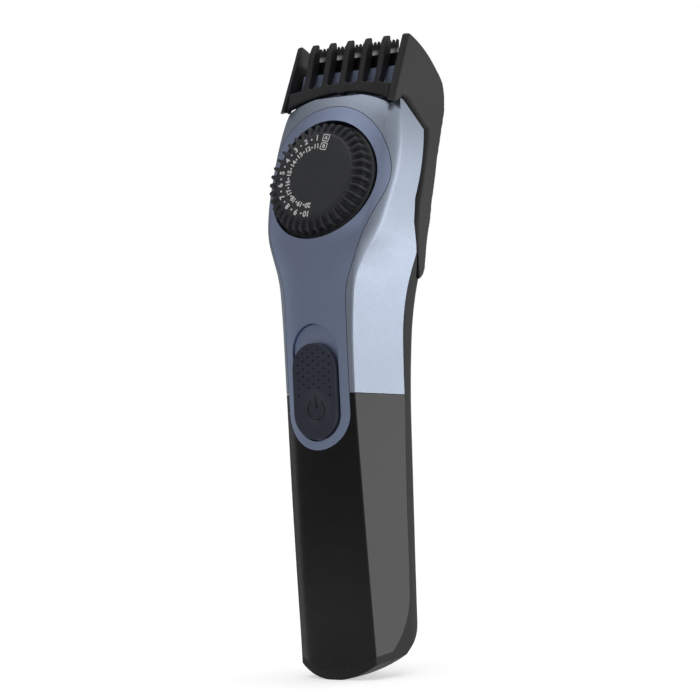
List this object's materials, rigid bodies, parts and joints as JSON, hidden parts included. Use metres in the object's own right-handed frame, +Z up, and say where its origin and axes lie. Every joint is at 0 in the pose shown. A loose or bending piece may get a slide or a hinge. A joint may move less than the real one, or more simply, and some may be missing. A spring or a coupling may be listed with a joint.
{
  "type": "beard trimmer",
  "caption": "Cordless beard trimmer with a turning length dial, a sliding power switch and a ridged comb over its blades.",
  "frame": {"origin": "centre of the footprint of the whole trimmer, at its lowest point", "axes": "+Z up along the handle to the comb, -Y out of the dial and switch, +X to the viewer's right"},
  "size_m": [0.04, 0.0402, 0.1687],
  "materials": {
    "shell_silver": "satin metallic",
    "panel_slate": "satin metallic",
    "cover_black": "gloss",
    "rear_plastic": "matte",
    "dial_plastic": "matte",
    "comb_plastic": "satin",
    "cap_gloss": "gloss",
    "inner_plastic": "matte",
    "blade_steel": "brushed",
    "spring_steel": "satin",
    "motor_can": "polished",
    "board_green": "satin",
    "cell_sleeve": "gloss",
    "brass_metal": "satin"
  },
  "bodies": {
    "housing": {"upper_shell": "shell_silver", "lower_cover": "cover_black", "front_panel": "panel_slate", "rear_shell": "rear_plastic", "switch_bed": "inner_plastic", "dial_seat": "inner_plastic", "detent_spring": "spring_steel", "carriage_guide": "inner_plastic", "head_cap": "cap_gloss", "blade_holder": "inner_plastic", "fixed_blade": "blade_steel", "blade_screws": "blade_steel", "blade_spring": "spring_steel", "motor": "motor_can", "motor_bracket": "inner_plastic", "battery": "cell_sleeve", "battery_contact_top": "brass_metal", "battery_contact_base": "brass_metal", "chassis": "inner_plastic", "housing_screws": "blade_steel", "circuit_board": "board_green", "board_parts": "inner_plastic", "switch_contact": "brass_metal", "charging_socket": "inner_plastic"},
    "dial": {"dial_knob": "dial_plastic", "dial_shaft": "blade_steel", "detent_wheel": "inner_plastic", "pinion": "inner_plastic"},
    "comb": {"attachment_comb": "comb_plastic", "comb_rack": "inner_plastic", "carriage_arm_right": "inner_plastic", "carriage_arm_left": "inner_plastic"},
    "switch": {"power_switch": "dial_plastic"},
    "drive_shaft": {"motor_shaft": "blade_steel", "eccentric": "inner_plastic"},
    "cutter": {"moving_blade": "blade_steel", "drive_yoke": "inner_plastic"}
  },
  "joints": [
    {"name": "dial_turn", "type": "hinge", "parent": "housing", "child": "dial", "pos_m": [0, -0.01555, 0.1317], "axis": [0, 0.9444, -0.3289], "range_deg": [0, 172.8]},
    {"name": "comb_slide", "type": "slide", "parent": "housing", "child": "comb", "axis": [0, 0.3289, 0.9444], "range_m": [0, 0.00905]},
    {"name": "switch_slide", "type": "slide", "parent": "housing", "child": "switch", "axis": [0, 0, 1], "range_m": [0, 0.0045]},
    {"name": "motor_spin", "type": "hinge", "parent": "housing", "child": "drive_shaft", "pos_m": [0, 0.0056, 0.12433], "axis": [0, 0.3289, 0.9444], "continuous": true},
    {"name": "blade_slide", "type": "slide", "parent": "housing", "child": "cutter", "axis": [1, 0, 0], "range_m": [-0.001, 0.001]}
  ],
  "couplings": [
    {"joint": "comb_slide", "follows": "dial_turn", "m_per_rad": 0.003}
  ]
}
